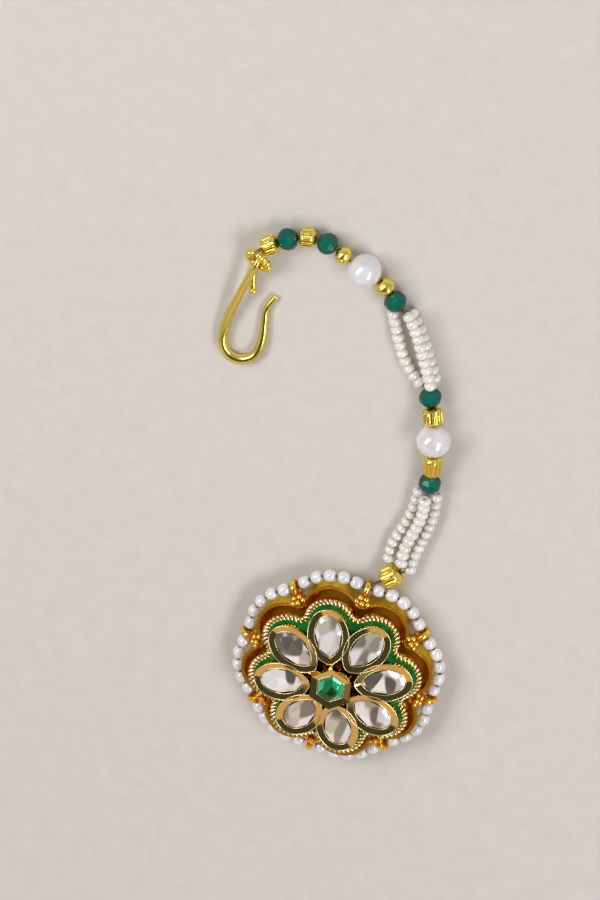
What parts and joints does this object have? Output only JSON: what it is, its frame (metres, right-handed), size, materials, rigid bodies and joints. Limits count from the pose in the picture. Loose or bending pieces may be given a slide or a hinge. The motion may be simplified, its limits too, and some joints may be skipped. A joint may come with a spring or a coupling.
{
  "type": "maang tikka",
  "caption": "Forehead ornament: a domed flower pendant with stones and a pearl rim, on a short string of beads and seed bead strands with a wire hair hook.",
  "frame": {"origin": "centre of the pendant's flat back, on the surface that it lies on", "axes": "+Z out of the flower's face, +Y to the side loop that the string is tied to"},
  "size_m": [0.0574, 0.0977, 0.0113],
  "materials": {
    "gold_plate": "bright yellow gold plate on cast and drawn brass",
    "green_enamel": "deep green fired enamel, glossy",
    "clear_stone": "clear foil backed kundan stone, polished facets",
    "green_stone": "emerald green foil backed stone, polished facets",
    "green_glass": "dark teal green faceted glass",
    "pearl_white": "white pearl coating with a soft lustre",
    "seed_white": "ivory white seed beads with a pearl coating",
    "thread": "waxed beading thread"
  },
  "bodies": {
    "root": {"centre_stone": "green_stone", "end_ring": "gold_plate", "flower_setting": "gold_plate", "gold_bead_1": "gold_plate", "gold_bead_2": "gold_plate", "gold_bead_3": "gold_plate", "gold_bead_4": "gold_plate", "gold_bead_5": "gold_plate", "gold_bead_6": "gold_plate", "gold_bead_7": "gold_plate", "green_bead_1": "green_glass", "green_bead_2": "green_glass", "green_bead_3": "green_glass", "green_bead_4": "green_glass", "green_bead_5": "green_glass", "green_enamel": "green_enamel", "hair_hook": "gold_plate", "pearl_bead_1": "pearl_white", "pearl_bead_2": "pearl_white", "pendant_base": "gold_plate", "petal_stone_1": "clear_stone", "petal_stone_2": "clear_stone", "petal_stone_3": "clear_stone", "petal_stone_4": "clear_stone", "petal_stone_5": "clear_stone", "petal_stone_6": "clear_stone", "petal_stone_7": "clear_stone", "petal_stone_8": "clear_stone", "rim_pearls": "pearl_white", "rim_thread": "thread", "strand_1_left": "seed_white", "strand_1_right": "seed_white", "strand_1_under": "seed_white", "strand_2_left": "seed_white", "strand_2_middle": "seed_white", "strand_2_right": "seed_white", "thread_hook": "thread", "thread_middle": "thread", "thread_pendant": "thread"}
  },
  "joints": []
}
